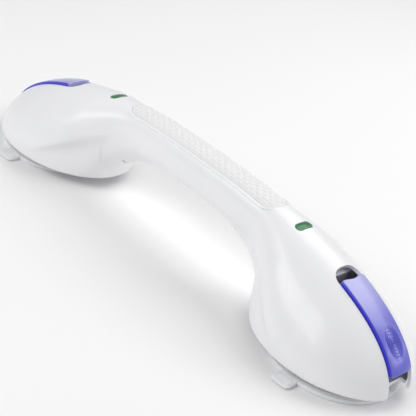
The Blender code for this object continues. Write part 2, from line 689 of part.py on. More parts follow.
def build_pin(side, mat):
    half = SLOT_HALF_W - LEVER_SIDE_GAP - LEVER_WALL - GAP
    pin = rod(side_name("lever_pin", side), (0.0, -half, 0.0), (0, 1, 0), 2.0 * half, PIN_R,
              PARTS, mat)
    pin.location = (side * CUP_X, 0.0, PIN_Z)
    bevel(pin, 0.3 * MM)
    return pin


def drum_axis_z():
    return ridge_z(FEELER_X) - LENS_SINK - LENS_T - DRUM_R - DRUM_SINK


def build_indicator(side, mats):
    """Window lens, two-colour drum on its shaft, feeler pin and its return spring."""
    x = side * FEELER_X
    lens = lens_block(side_name("indicator_lens", side), side, 0.0, -LENS_SINK,
                      LENS_SINK + LENS_T, PARTS, mats["green"])
    axis_z = drum_axis_z()
    drum = rod(side_name("indicator_drum", side), (0.0, -DRUM_HALF_W, 0.0), (0, 1, 0),
               2.0 * DRUM_HALF_W, DRUM_R, PARTS, mats["green"], segments=28)
    drum.location = (x, 0.0, axis_z)
    shaft = rod(side_name("drum_shaft", side), (0.0, -DRUM_HALF_W - 3.0 * MM, 0.0), (0, 1, 0),
                2.0 * DRUM_HALF_W + 6.0 * MM, DRUM_SHAFT_R, CUTTERS, segments=14)
    shaft.location = drum.location
    boolean(drum, shaft, "UNION")
    top = axis_z - DRUM_R - GAP
    profile = [(0.0, top), (FEELER_R, top), (FEELER_R, FEELER_COLLAR_Z),
               (FEELER_COLLAR_R, FEELER_COLLAR_Z), (FEELER_COLLAR_R, FEELER_COLLAR_Z - 1.5 * MM),
               (FEELER_R, FEELER_COLLAR_Z - 1.5 * MM), (FEELER_R, FEELER_TIP_Z + FEELER_R),
               (0.75 * FEELER_R, FEELER_TIP_Z + 0.35 * FEELER_R), (0.0, FEELER_TIP_Z)]
    turned(side_name("feeler_pin", side), profile, (x, 0.0, 0.0), PARTS, mats["steel"], steps=20)


def build_bracket(side, mat):
    """Fork that carries the drum's shaft and stops the top of the feeler's spring."""
    x = side * FEELER_X
    axis_z = drum_axis_z()
    low = spring_ends()[1] + SPRING_WIRE + GAP
    arm_y = DRUM_HALF_W + 0.5 * MM + ARM_T / 2.0
    bracket = box(side_name("indicator_bracket", side),
                  (x - ARM_HALF_L - 2.0 * MM, -arm_y - ARM_T / 2.0, low),
                  (x + ARM_HALF_L + 2.0 * MM, arm_y + ARM_T / 2.0, low + ARM_T), PARTS, mat)
    for y in (-arm_y, arm_y):
        arm = box(side_name("arm", side),
                  (x - ARM_HALF_L, y - ARM_T / 2.0, low + 0.5 * ARM_T),
                  (x + ARM_HALF_L, y + ARM_T / 2.0, axis_z + ARM_HALF_L), CUTTERS)
        boolean(bracket, arm, "UNION")
    boolean(bracket, rod(side_name("arm_bore", side), (x, -REACH, axis_z), (0, 1, 0), 2.0 * REACH,
                         DRUM_SHAFT_R + GAP, CUTTERS, segments=14))
    boolean(bracket, rod(side_name("guide_bore", side), (x, 0.0, low - STUB), (0, 0, 1), 3.0 * STUB,
                         FEELER_R + GAP, CUTTERS, segments=20))
    return bracket


def spring_ends():
    """Centre-line heights of the spring's first and last turn."""
    low = FEELER_COLLAR_Z + SPRING_WIRE + GAP
    return low, low + SPRING_L


def build_spring(side, mat):
    """Return spring on the feeler, between its collar and the fork."""
    low, high = spring_ends()
    curve = bpy.data.curves.new(side_name("feeler_spring", side), "CURVE")
    curve.dimensions = "3D"
    curve.bevel_depth = SPRING_WIRE
    curve.bevel_resolution = 1
    curve.use_fill_caps = True
    count = SPRING_TURNS * 10 + 1
    line = curve.splines.new("POLY")
    line.points.add(count - 1)
    for i in range(count):
        a = 2.0 * math.pi * i / 10
        z = low + (high - low) * i / (count - 1)
        line.points[i].co = (SPRING_R * math.cos(a), SPRING_R * math.sin(a), z, 1.0)
    spring = adopt(bpy.data.objects.new(side_name("feeler_spring", side), curve),
                   side_name("feeler_spring", side), PARTS)
    curve.materials.append(mat)
    spring.location = (side * FEELER_X, 0.0, 0.0)
    return spring


def build_all():
    mats = {
        "white": material("shell_white", (0.86, 0.87, 0.88), 0.28),
        "grey": material("housing_grey", (0.35, 0.35, 0.37), 0.45),
        "blue": material("lever_blue", (0.09, 0.10, 0.62), 0.25),
        "green": material("indicator_green", (0.04, 0.30, 0.11), 0.2),
        "rubber": material("cup_rubber", (0.62, 0.64, 0.66), 0.4),
        "steel": material("bright_steel", (0.7, 0.7, 0.72), 0.2, 1.0),
    }
    build_shell(mats["white"])
    build_cover(mats["white"])
    panel_solid("grip_panel", PARTS, mats["white"], 0.0, PANEL_PROUD, PANEL_THICK)
    for i, x in enumerate(COVER_SCREWS_X):
        seat = cover_seat(x) + SCREW_HEAD_T - GAP
        build_screw(f"cover_screw_{i + 1}", (x, 0.0, seat), mats["steel"])
    for side in (-1, 1):
        build_base_plate(side, mats["white"])
        build_cup(side, mats["rubber"])
        build_stem(side, mats["steel"])
        build_lever(side, mats["blue"])
        build_housing(side, mats["grey"])
        build_wear_plate(side, mats["steel"])
        build_pin(side, mats["steel"])
        build_indicator(side, mats)
        build_bracket(side, mats["white"])
        build_spring(side, mats["steel"])
        for i, (x, y) in enumerate(PLATE_SCREWS):
            build_screw(side_name(f"plate_screw_{i + 1}", side),
                        (side * x, y, PLATE_Z - GAP), mats["steel"])


def centre_on_origin():
    """Hang everything on one empty, moved so that the tabs' overhang is shared out."""
    centre = bpy.data.objects.new("bar_centre", None)
    bpy.context.scene.collection.objects.link(centre)
    centre.location.y = (TAB_REACH - RIM_WIDTH_R) / 2.0
    for obj in list(PARTS.objects) + list(CUTTERS.objects):
        obj.parent = centre


clear_scene()
PARTS = new_collection("suction_grab_bar")
CUTTERS = new_collection("cutters")
build_all()
centre_on_origin()
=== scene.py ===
# Suction grab bar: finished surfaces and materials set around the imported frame.
import math

import bmesh
import bpy
import numpy as np
from mathutils import Matrix, Vector


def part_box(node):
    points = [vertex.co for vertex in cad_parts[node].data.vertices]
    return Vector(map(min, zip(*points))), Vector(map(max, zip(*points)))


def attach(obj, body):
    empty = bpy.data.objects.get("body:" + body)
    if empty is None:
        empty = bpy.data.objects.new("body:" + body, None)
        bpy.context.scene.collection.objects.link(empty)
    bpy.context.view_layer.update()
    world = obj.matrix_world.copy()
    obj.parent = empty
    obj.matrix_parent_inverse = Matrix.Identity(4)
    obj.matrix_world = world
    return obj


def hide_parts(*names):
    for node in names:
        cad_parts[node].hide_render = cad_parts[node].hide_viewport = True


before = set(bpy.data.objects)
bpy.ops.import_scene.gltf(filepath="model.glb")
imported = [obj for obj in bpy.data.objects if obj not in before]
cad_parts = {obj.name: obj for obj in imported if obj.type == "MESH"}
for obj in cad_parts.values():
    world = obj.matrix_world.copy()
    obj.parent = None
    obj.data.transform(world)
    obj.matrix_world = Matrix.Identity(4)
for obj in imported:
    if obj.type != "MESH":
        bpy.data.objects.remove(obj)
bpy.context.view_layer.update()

mm = 0.001
rightAngle = math.pi / 2
sides = {"left": -1, "right": 1}


def boxMiddle(node):
    low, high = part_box(node)
    return (low + high) / 2


middleY = boxMiddle("upper_shell").y          # the bar's own centre line
print("frame loaded, centre line at", round(middleY, 5))



def smooth(share):
    # cubic step: 0 below 0, 1 above 1, level at both ends
    share = np.clip(share, 0, 1)
    return share * share * (3 - 2 * share)


shellForm = {
    "bellX": 148 * mm, "rimLength": 62 * mm, "rimWidth": 50 * mm, "rimZ": 9 * mm,
    "ridgeRise": 71 * mm, "ridgePower": 2.5, "ridgeRoot": 0.51,
    "archRise": 38 * mm, "archPower": 2.5, "archRoot": 0.62, "gripHalf": 16.5 * mm,
    "flare": (62 * mm, 140 * mm), "sideRise": 49.7 * mm, "sideFall": (58 * mm, 158 * mm),
    "skirt": 2.4 * mm, "crown": (2.65, 1.75), "crownFade": (40 * mm, 140 * mm),
    "scoop": 3.3 * mm, "scoopGrown": (72 * mm, 92 * mm), "scoopGone": (104 * mm, 136 * mm),
    "wall": 2.4 * mm, "lip": 0.3 * mm,
    "bandHalf": 14 * mm,                      # the ridge band, which holds every opening
    "coverHalfL": 72.3 * mm, "coverHalfW": 9.3 * mm,
    "seatHalfL": 78.2 * mm, "seatHalfW": 10.7 * mm, "seatDepth": 1.5 * mm,
    "windowX": 99.5 * mm, "windowHalfL": 3.4 * mm, "windowHalfW": 7.9 * mm,
    "slotX": 138.5 * mm, "slotHalf": 12.2 * mm,
    "bandBlocks": (83.8 * mm, 114 * mm, 128 * mm), "slotArc": 7 * mm,
    "bandSteps": 8, "upperSteps": 20, "lowerSteps": 10, "footSteps": 9,
}


def between(x, pair):
    # 0 to 1 as x goes between two places
    return smooth((np.abs(x) - pair[0]) / (pair[1] - pair[0]))


def ridgeZ(x):
    # rim height plus rise times (1 - share^power)^root, share being the way to the end
    form = shellForm
    share = np.minimum(np.abs(x) / (form["bellX"] + form["rimLength"]), 1)
    return form["rimZ"] + form["ridgeRise"] * (1 - share ** form["ridgePower"]) ** form["ridgeRoot"]


def rimHalf(x):
    # half width of the rim's ellipse
    share = (np.abs(x) - shellForm["bellX"]) / shellForm["rimLength"]
    return shellForm["rimWidth"] * np.sqrt(np.maximum(1 - share ** 2, 0))


def sideHalf(x):
    # handle's half width, flared to the rim's, and the rim's own beyond the bell's middle
    form = shellForm
    flared = form["gripHalf"] + (form["rimWidth"] - form["gripHalf"]) * between(x, form["flare"])
    return np.where(np.abs(x) > form["bellX"], rimHalf(x), np.maximum(flared, rimHalf(x)))


def sideZ(x):
    # widest level, which falls from the handle's side to the skirt
    form = shellForm
    return (form["rimZ"] + form["skirt"]
            + (form["sideRise"] - form["skirt"]) * (1 - between(x, form["sideFall"])))


def archZ(x):
    # underside of the handle, down to the rim where the bell starts
    form = shellForm
    share = np.minimum(np.abs(x) / (form["bellX"] - form["rimLength"]), 1)
    return form["rimZ"] + form["archRise"] * (1 - share ** form["archPower"]) ** form["archRoot"]


def crownPower(x):
    low, high = shellForm["crown"]
    return low + (high - low) * between(x, shellForm["crownFade"])


def crownZ(x, y):
    # superellipse over the widest level: (1 - |y/half|^p)^(1/p) of the way to the ridge
    power = crownPower(x)
    share = np.clip(np.abs(y) / np.maximum(sideHalf(x), 1e-9), 0, 1)
    return sideZ(x) + (ridgeZ(x) - sideZ(x)) * (1 - share ** power) ** (1 / power)


def coverZ(x, y):
    # underside of the handle as a quarter ellipse from the widest level down to the arch
    share = np.clip(np.abs(y) / shellForm["gripHalf"], 0, 1)
    return sideZ(x) - (sideZ(x) - archZ(x)) * np.sqrt(1 - share ** 2)



def quads(rows, columns, start):
    # corner numbers of the faces of a grid of rows x columns points
    number = np.arange(rows * columns).reshape(rows, columns) + start
    return np.stack([number[:-1, :-1], number[:-1, 1:], number[1:, 1:], number[1:, :-1]],
                    -1).reshape(-1, 4)


def pieceFromGrids(name, grids, sharp=35, weld=0.00001):
    # one object from grids of points: shared edges are welded and faces turned outwards
    faces, start = [], 0
    for grid in grids:
        faces.append(quads(grid.shape[0], grid.shape[1], start))
        start += grid.shape[0] * grid.shape[1]
    points = np.concatenate([grid.reshape(-1, 3) for grid in grids])
    points = points + np.array([0, middleY, 0])
    mesh = bpy.data.meshes.new(name)
    mesh.from_pydata(points.tolist(), [], np.concatenate(faces).tolist())
    work = bmesh.new()
    work.from_mesh(mesh)
    bmesh.ops.remove_doubles(work, verts=work.verts, dist=weld)
    bmesh.ops.dissolve_degenerate(work, edges=work.edges, dist=weld / 4)
    bmesh.ops.recalc_face_normals(work, faces=work.faces)
    work.to_mesh(mesh)
    work.free()
    mesh.shade_smooth()
    mesh.set_sharp_from_angle(angle=math.radians(sharp))
    piece = bpy.data.objects.new(name, mesh)
    bpy.context.scene.collection.objects.link(piece)
    return piece


def wallAndLip(piece, wall, lip, degrees=40, segments=2):
    # gives an open skin its thickness, then rounds the edges of its openings
    solid = piece.modifiers.new("wall", "SOLIDIFY")
    solid.thickness = wall
    solid.offset = -1
    solid.use_even_offset = False
    bevel = piece.modifiers.new("lip", "BEVEL")
    bevel.width = lip
    bevel.segments = segments
    bevel.limit_method = "ANGLE"
    bevel.angle_limit = math.radians(degrees)
    bevel.harden_normals = True


def finish(piece, material, body, slot, *nodes):
    # dresses a piece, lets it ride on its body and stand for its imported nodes
    piece.data.materials.append(material)
    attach(piece, body)
    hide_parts(*nodes)


def mirrored(grid, alongSign, acrossSign):
    return grid * np.array([alongSign, acrossSign, 1])


def onRidge(plan, depth=0.0):
    # plan points set on the crown, and lowered
    x, y = plan[..., 0], plan[..., 1]
    return np.stack([x, y, crownZ(x, y) - depth], -1)


def blendPaths(outer, inner, steps):
    # straight steps from each point of one path to the matching point of another
    share = np.linspace(0, 1, steps + 1)[:, None, None]
    return outer * (1 - share) + inner * share



def shellStations():
    # even along the grip, bunched where the arch lands, then even round the rim's ellipse
    form = shellForm
    landing = form["bellX"] - form["rimLength"]
    grip = np.linspace(0, form["coverHalfL"], 31)
    land = form["coverHalfL"] + (landing - form["coverHalfL"]) * np.sin(
        np.linspace(0, rightAngle, 13))
    tip = math.acos(-math.sqrt(1 - (form["slotHalf"] / form["rimWidth"]) ** 2))
    bell = form["bellX"] - form["rimLength"] * np.cos(np.linspace(0, tip, 74))
    return np.concatenate([grip, land[1:], bell[1:]])


def nearest(values, target):
    return int(np.argmin(np.abs(values - target)))


def bandEdge(x, slotEndX):
    # half width of the ridge band, narrowed to the slot's
    form = shellForm
    narrow = smooth((x - form["slotX"] + 12 * mm) / (slotEndX - form["slotX"] + 12 * mm))
    return form["bandHalf"] + (form["slotHalf"] - form["bandHalf"]) * narrow


def flankGrids(stations, slotEndX):
    # section angle from the ridge band round the widest level and in to the rim
    form = shellForm
    x = stations[:, None]
    wide, level, power, rim = sideHalf(x), sideZ(x), crownPower(x), rimHalf(x)
    start = np.arcsin(np.clip(bandEdge(x, slotEndX) / wide, 0, 1) ** (power / 2))
    angle = start + (rightAngle - start) * np.linspace(0, 1, form["upperSteps"] + 1)
    upper = np.stack([x + 0 * angle, wide * np.sin(angle) ** (2 / power),
                      level + (ridgeZ(x) - level) * np.cos(angle).clip(0) ** (2 / power)], -1)
    edgeX = np.minimum(x, form["coverHalfL"])
    cut = np.arccos(np.clip(form["coverHalfW"] / sideHalf(edgeX), 0, 1))

    scoop = form["scoop"] * between(x, form["scoopGrown"]) * (1 - between(x, form["scoopGone"]))

    def lower(turn):
        # quarter ellipse, hollowed below the crease by t (1 - t)^4 of the way down
        share = turn / rightAngle
        hollow = scoop * share * (1 - share) ** 4 * 3125 / 256
        return np.stack([x + 0 * turn, rim + (wide - rim) * np.cos(turn) - hollow,
                         level - (level - archZ(x)) * np.sin(turn)], -1)
    under = lower(cut * np.linspace(0, 1, form["lowerSteps"] + 1))
    foot = lower(cut + (rightAngle - cut) * np.linspace(0, 1, form["footSteps"] + 1))
    opening = nearest(stations, form["coverHalfL"])
    return [upper, under, foot[opening:]]


def windowPath(outer):
    # where rays from the window's middle meet its capsule: straight sides, round ends
    form = shellForm
    centre = np.array([form["windowX"], 0])
    ray = outer - centre
    ray = ray / np.linalg.norm(ray, axis=1, keepdims=True)
    half, straight = form["windowHalfL"], form["windowHalfW"] - form["windowHalfL"]
    toSide = half / np.maximum(np.abs(ray[:, 0]), 1e-9)
    toEnd = straight * ray[:, 1] + np.sqrt(
        np.maximum(half ** 2 - (straight * ray[:, 0]) ** 2, 0))
    reach = np.where(toSide * ray[:, 1] <= straight, toSide, toEnd)
    return centre + ray * reach[:, None]


def bandGrids(stations):
    # four blocks of the ridge band: round the panel, round the window, plain, slot end
    form = shellForm
    first, second, third = (nearest(stations, place) for place in form["bandBlocks"])
    fourth = nearest(stations, form["slotX"] + form["slotArc"])
    slotEndX = stations[fourth]
    rise = np.linspace(0, 1, form["bandSteps"] + 1)

    def endEdge(index):
        return np.stack([stations[index] + 0 * rise,
                         rise * bandEdge(stations[index], slotEndX)], -1)

    def topEdge(indices):
        return np.stack([stations[indices], bandEdge(stations[indices], slotEndX)], -1)

    outer = np.concatenate([endEdge(first), topEdge(np.arange(first - 1, -1, -1))])
    arcX = form["seatHalfL"] - form["seatHalfW"]
    ray = outer - np.array([arcX, 0])
    ray = ray / np.linalg.norm(ray, axis=1, keepdims=True)
    seat = np.where(outer[:, :1] > arcX, np.array([arcX, 0]) + form["seatHalfW"] * ray,
                    np.stack([outer[:, 0], form["seatHalfW"] + 0 * outer[:, 0]], -1))
    spine = np.stack([np.minimum(outer[:, 0], arcX), 0 * outer[:, 0]], -1)
    depth = np.linspace(0, form["seatDepth"], 4)[:, None]
    grids = [onRidge(blendPaths(outer, seat, 4)),
             onRidge(np.broadcast_to(seat, (4, *seat.shape)), depth),
             onRidge(blendPaths(seat, spine, 6), form["seatDepth"])]

    outer = np.concatenate([endEdge(second), topEdge(np.arange(second - 1, first, -1)),
                            endEdge(first)[::-1]])
    grids.append(onRidge(blendPaths(outer, windowPath(outer), 9)))

    plain = stations[second:third + 1]
    plan = np.stack([plain[:, None] + 0 * rise, bandEdge(plain, slotEndX)[:, None] * rise], -1)
    grids.append(onRidge(plan))

    outer = np.concatenate([endEdge(third), topEdge(np.arange(third + 1, fourth + 1))])
    corner = slotEndX - form["slotX"]
    straight = np.stack([form["slotX"] + 0 * rise, rise * (form["slotHalf"] - corner)], -1)
    turn = np.linspace(0, rightAngle, fourth - third + 1)[1:]
    arc = np.stack([slotEndX - corner * np.cos(turn),
                    form["slotHalf"] - corner + corner * np.sin(turn)], -1)
    grids.append(onRidge(blendPaths(outer, np.concatenate([straight, arc]), 8)))
    return grids, slotEndX


def makeShell(material):
    stations = shellStations()
    grids, slotEndX = bandGrids(stations)
    grids += flankGrids(stations, slotEndX)
    whole = [mirrored(grid, along, across) for grid in grids
             for along in (1, -1) for across in (1, -1)]
    shell = pieceFromGrids("shellMoulding", whole)
    wallAndLip(shell, shellForm["wall"], shellForm["lip"])
    finish(shell, material, "shell_body", "shell_white", "upper_shell")



def roundedPlan(lengthHalf, widthHalf, corner, along, across):
    # rectangle with round corners: stations bunched in the corners, width cut back there
    turn = np.linspace(0, rightAngle, 10)
    straight = lengthHalf - corner
    inner = np.linspace(-straight, straight, along)
    x = np.concatenate([-straight - corner * np.cos(turn[:-1]), inner,
                        straight + corner * np.sin(turn[1:])])
    past = np.maximum(np.abs(x) - straight, 0)
    half = widthHalf - corner + np.sqrt(np.maximum(corner ** 2 - past ** 2, 0))
    return np.stack([np.broadcast_to(x[:, None], (len(x), across)),
                     half[:, None] * np.linspace(-1, 1, across)], -1)


def outlineOf(plan):
    # the plan grid's boundary, anticlockwise and closed, with its outward direction
    loop = np.concatenate([plan[:, 0], plan[-1, 1:], plan[-2::-1, -1], plan[0, -2:0:-1]])
    ahead = np.roll(loop, -1, 0) - np.roll(loop, 1, 0)
    outward = np.stack([ahead[:, 1], -ahead[:, 0]], -1)
    outward = outward / np.maximum(np.linalg.norm(outward, axis=1, keepdims=True), 1e-9)
    return np.concatenate([loop, loop[:1]]), np.concatenate([outward, outward[:1]])


def roundedSkirt(radius, depth, steps=4):
    # (outward step, depth) from the top edge over a quarter circle and straight down
    turn = np.linspace(0, rightAngle, steps + 1)
    over = np.stack([radius * np.sin(turn), radius * (1 - np.cos(turn))], -1)
    return np.concatenate([over, [[radius, depth]]])


def trayGrids(plan, skirt, lift):
    # top over the plan, and the skirt carried round its outline
    loop, outward = outlineOf(plan)
    step, depth = skirt[:, 0][:, None, None], skirt[:, 1][:, None]
    rows = loop[None] + outward[None] * step
    return [lift(plan, np.zeros(plan.shape[:2])), lift(rows, depth + 0 * rows[..., 0])]


panelForm = {
    "halfL": 78 * mm, "halfW": 10.5 * mm, "proud": 0.08 * mm, "thick": 1.5 * mm,
    "edge": 0.3 * mm, "border": 0.7 * mm, "pitchL": 6.6 * mm, "pitchW": 2.9 * mm,
    "lozengeL": 2.7 * mm, "lozengeW": 0.95 * mm, "height": 0.55 * mm, "along": 460, "across": 81,
}


def lozengeHeight(x, y):
    # rows of pointed ovals, every other row shifted by half a pitch
    form = panelForm
    row = np.round(y / form["pitchW"])
    shift = np.mod(row, 2) * form["pitchL"] / 2
    u = np.mod(x + shift + form["pitchL"] / 2, form["pitchL"]) - form["pitchL"] / 2
    v = y - row * form["pitchW"]
    inside = 1 - np.abs(u / form["lozengeL"]) ** 1.6 - np.abs(v / form["lozengeW"]) ** 1.6
    arcX = form["halfL"] - form["halfW"]
    fromEdge = form["halfW"] - np.hypot(np.maximum(np.abs(x) - arcX, 0), y)
    return form["height"] * smooth(inside / 0.7) * smooth((fromEdge - form["border"]) / mm)


def makePanel(material):
    form = panelForm
    inset = form["edge"]
    plan = roundedPlan(form["halfL"] - inset, form["halfW"] - inset,
                       form["halfW"] - inset - 0.15 * mm, form["along"], form["across"])

    def lift(points, depth):
        x, y = points[..., 0], points[..., 1]
        raised = lozengeHeight(x, y) * (depth == 0)
        return np.stack([x, y, crownZ(x, y) + form["proud"] + raised - depth], -1)
    grids = trayGrids(plan, roundedSkirt(inset, form["thick"]), lift)
    top, skirt = grids
    loop = skirt[-1]
    spine = np.stack([loop[:, 0].clip(-(form["halfL"] - form["halfW"]),
                                      form["halfL"] - form["halfW"]), 0 * loop[:, 1]], -1)
    under = blendPaths(loop[:, :2], spine, 6)
    panel = pieceFromGrids("gripInlay", [top, skirt, lift(under, form["thick"])])
    finish(panel, material, "shell_body", "grip_white", "grip_panel")



coverForm = {"halfL": 72 * mm, "halfW": 9 * mm, "thick": 2 * mm, "edge": 0.4 * mm}


def makeCover(material):
    # closes the handle from below: a plain arched strip
    form = coverForm
    inset = form["edge"]
    plan = roundedPlan(form["halfL"] - inset, form["halfW"] - inset, 1.0 * mm, 220, 25)

    def lift(points, depth):
        x, y = points[..., 0], points[..., 1]
        return np.stack([x, -y, coverZ(x, y) + depth], -1)
    skirt = roundedSkirt(inset, form["thick"])
    grids = trayGrids(plan, skirt, lift)
    loop = grids[1][-1] * np.array([1, -1, 1])
    spine = np.stack([loop[:, 0], 0 * loop[:, 1]], -1)
    under = blendPaths(loop[:, :2], spine, 5)
    cover = pieceFromGrids("gripCover", [*grids, lift(under, form["thick"])])
    finish(cover, material, "shell_body", "shell_white", "handle_cover")



lensForm = {"halfL": 3.1 * mm, "halfW": 7.6 * mm, "sink": 0.25 * mm, "thick": 2.2 * mm,
            "edge": 0.5 * mm, "dome": 0.35 * mm}


def makeLens(side, material):
    # capsule across the ridge with a soft dome
    form = lensForm
    inset = form["edge"]
    capsule = roundedPlan(form["halfW"] - inset, form["halfL"] - inset,
                          form["halfL"] - inset - 0.1 * mm, 24, 17)
    plan = capsule[..., ::-1] * np.array([-1, 1])
    middle = boxMiddle(f"indicator_lens_{side}").x

    def lift(points, depth):
        x, y = points[..., 0] + middle, points[..., 1]
        bulge = form["dome"] * (1 - (points[..., 0] / form["halfL"]) ** 2)
        return np.stack([x, y, crownZ(x, y) - form["sink"] + bulge - depth], -1)
    grids = trayGrids(plan, roundedSkirt(inset, form["thick"]), lift)
    loop = grids[1][-1]
    local = loop[:, :2] - np.array([middle, 0])
    reach = form["halfW"] - form["halfL"]
    spine = np.stack([0 * local[:, 0], local[:, 1].clip(-reach, reach)], -1)
    under = lift(blendPaths(local, spine, 4), form["thick"])
    lens = pieceFromGrids(f"indicatorWindow_{side}", [*grids, under])
    finish(lens, material, "shell_body", "window_green", f"indicator_lens_{side}")


def turnedGrid(profile, centre, steps=64, lobes=6, axis="Z"):
    # profile of (radius, height, lobing) carried round; lobing waves the radius
    angle = np.linspace(0, 2 * math.pi, steps + 1)
    profile = np.array(profile, float)
    radius = profile[:, :1] * (1 + profile[:, 2:3] * np.cos(lobes * angle))
    first, second = radius * np.cos(angle), radius * np.sin(angle)
    height = profile[:, 1:2] + 0 * first
    parts = [first, second, height] if axis == "Z" else [second, height, first]
    return np.stack(parts, -1) + np.array(centre)


def plainProfile(points):
    return [(radius, height, 0) for radius, height in points]


def roundedProfile(points, radius, steps=4):
    # rounds every inner corner of a profile with a short quadratic curve
    points = np.array(points, float)
    made = [points[:1]]
    for before, corner, after in zip(points[:-2], points[1:-1], points[2:]):
        back, ahead = before - corner, after - corner
        cut = min(radius, np.linalg.norm(back) / 2.1, np.linalg.norm(ahead) / 2.1)
        start = corner + back / np.linalg.norm(back) * cut
        stop = corner + ahead / np.linalg.norm(ahead) * cut
        t = np.linspace(0, 1, steps + 1)[:, None]
        made.append((1 - t) ** 2 * start + 2 * t * (1 - t) * corner + t ** 2 * stop)
    made.append(points[-1:])
    return np.concatenate(made)


drumForm = {"radius": 6 * mm, "halfW": 6.5 * mm, "shaftR": 1.2 * mm, "shaftHalf": 9.5 * mm}


def makeDrum(side, material):
    form = drumForm
    centre = boxMiddle(f"indicator_drum_{side}")
    points = [(0, form["shaftHalf"]), (form["shaftR"], form["shaftHalf"]),
              (form["shaftR"], form["halfW"]), (form["radius"], form["halfW"]),
              (form["radius"], -form["halfW"]), (form["shaftR"], -form["halfW"]),
              (form["shaftR"], -form["shaftHalf"]), (0, -form["shaftHalf"])]
    grid = turnedGrid(plainProfile(roundedProfile(points, 0.3 * mm)),
                      (centre.x, centre.y - middleY, centre.z), 72, axis="Y")
    drum = pieceFromGrids(f"colourDrum_{side}", [grid])
    finish(drum, material, f"drum_{side}", "drum_green", f"indicator_drum_{side}")



leverForm = {
    "startX": 147.7 * mm, "endX": 206.6 * mm, "proud": 0.9 * mm, "half": 11.2 * mm,
    "crown": 0.9 * mm, "edge": 0.9 * mm, "depth": 6.5 * mm, "corner": 2.0 * mm,
    "wall": 2.2 * mm, "along": 250, "across": 91, "notch": 1.6 * mm,
    "padS": 51.0 * mm, "padL": 13.2 * mm, "padW": 7.4 * mm, "padDish": 0.95 * mm,
    "ringPitch": 0.17, "ringHeight": 0.26 * mm,
    "earY": 6.5 * mm, "earT": 3.0 * mm, "camR": 8.5 * mm, "travel": 3.5 * mm,
    "open": math.radians(95), "boreR": 2.3 * mm,
    # painted highlight on the lever's top: it fades out between the first pair of places along the
    # bar, and stops at the long sides between the second pair across it
    "sheenFrom": 152 * mm, "sheenTo": 190 * mm, "edgeFrom": 9.8 * mm, "edgeTo": 11.1 * mm,
}


def leverLine():
    # tables of place along the lever's curved top against distance run
    form = leverForm
    x = np.linspace(form["startX"], form["endX"] - form["edge"] * 0.35, 4000)
    z = ridgeZ(x) + form["proud"]
    run = np.concatenate([[0], np.cumsum(np.hypot(np.diff(x), np.diff(z)))])
    slope = np.gradient(z, x)
    size = np.hypot(1, slope)
    return run, x, z, -slope / size, 1 / size


def padDepth(run, y):
    # oval dish with raised rings: q is the oval distance from the pad's middle
    form = leverForm
    q = np.hypot((run - form["padS"]) / form["padL"], y / form["padW"])
    dish = form["padDish"] * smooth((1 - q) / 0.22)
    rings = form["ringHeight"] * np.cos(2 * math.pi * q / form["ringPitch"])
    return dish - rings * smooth((0.93 - q) / 0.1)


def leverSkin(sign):
    form = leverForm
    runs, xs, zs, normalX, normalZ = leverLine()
    inset = form["edge"]
    length = runs[-1]
    plan = roundedPlan(length / 2 - inset, form["half"] - inset, form["corner"] - inset * 0.5,
                       form["along"], form["across"])
    plan = plan + np.array([length / 2, 0])
    notch = form["notch"] * np.cos(rightAngle * plan[..., 1] / (form["half"] - inset)) ** 2
    fade = smooth(1 - plan[..., 0] / (12 * mm))
    plan[..., 0] += notch * fade

    def lift(points, depth):
        run, y = points[..., 0], points[..., 1]
        inner, outer = np.minimum(run, 0), np.maximum(run - length, 0)
        at = np.clip(run, 0, length)
        x, z, nx, nz = (np.interp(at, runs, table) for table in (xs, zs, normalX, normalZ))
        x = x + (inner + outer) * nz
        z = z - (inner + outer) * nx
        down = depth + form["crown"] * (y / form["half"]) ** 2
        down = down + padDepth(run, y) * (depth == 0)
        return np.stack([sign * (x - nx * down), y, z - nz * down], -1)
    return trayGrids(plan, roundedSkirt(inset, form["depth"], 5), lift)


def camOutline(top):
    # envelope of a flat follower whose distance from the pin falls evenly with the turn
    form = leverForm
    fall = form["travel"] / form["open"]
    turn = form["open"] * 1.1 * np.linspace(1, 0, 40)
    angle = -rightAngle - turn
    reach = form["camR"] - fall * turn
    cam = np.stack([reach * np.cos(angle) - fall * np.sin(angle),
                    reach * np.sin(angle) + fall * np.cos(angle)], -1)
    rest = np.array([[0.5 * form["camR"], -0.78 * form["camR"]], [0.85 * form["camR"], 0],
                     [8 * mm, top(8 * mm)], [-4.5 * mm, top(-4.5 * mm)]])
    corners = np.concatenate([cam, rest, cam[:1]])
    run = np.concatenate([[0], np.cumsum(np.linalg.norm(np.diff(corners, axis=0), axis=1))])
    even = np.linspace(0, run[-1], 121)
    return np.stack([np.interp(even, run, corners[:, i]) for i in (0, 1)], -1)


def ringPlate(outline, hole, low, high, centre, sign):
    # plate with a round hole: both faces from the outline in to the hole, and two walls
    inner = outline / np.linalg.norm(outline, axis=1, keepdims=True) * hole
    across = blendPaths(outline, inner, 5)

    def place(flat, y):
        return np.stack([sign * flat[..., 0] + centre.x, flat[..., 1] * 0 + y,
                         flat[..., 1] + centre.z], -1)
    levels = np.linspace(low, high, 3)
    return [place(across, low), place(across, high),
            np.stack([place(outline, y) for y in levels]),
            np.stack([place(inner, y) for y in levels])]


def makeLever(side, sign, material):
    form = leverForm
    pin = boxMiddle(f"lever_pin_{side}")
    skin = pieceFromGrids(f"flipLever_{side}", leverSkin(sign))
    wallAndLip(skin, form["wall"], 0.35 * mm, 60)

    def top(offset):
        return float(ridgeZ(abs(pin.x) + offset)) + form["proud"] - pin.z - 1.6 * mm
    outline = camOutline(top)
    ears = []
    for y in (-form["earY"], form["earY"]):
        ears += ringPlate(outline, form["boreR"], y - form["earT"] / 2, y + form["earT"] / 2,
                          pin, sign)
    cams = pieceFromGrids(f"leverCams_{side}", ears)
    finish(skin, material, f"flip_lever_{side}", "lever_blue", f"lever_{side}")
    finish(cams, material, f"flip_lever_{side}", "lever_blue", f"lever_{side}")



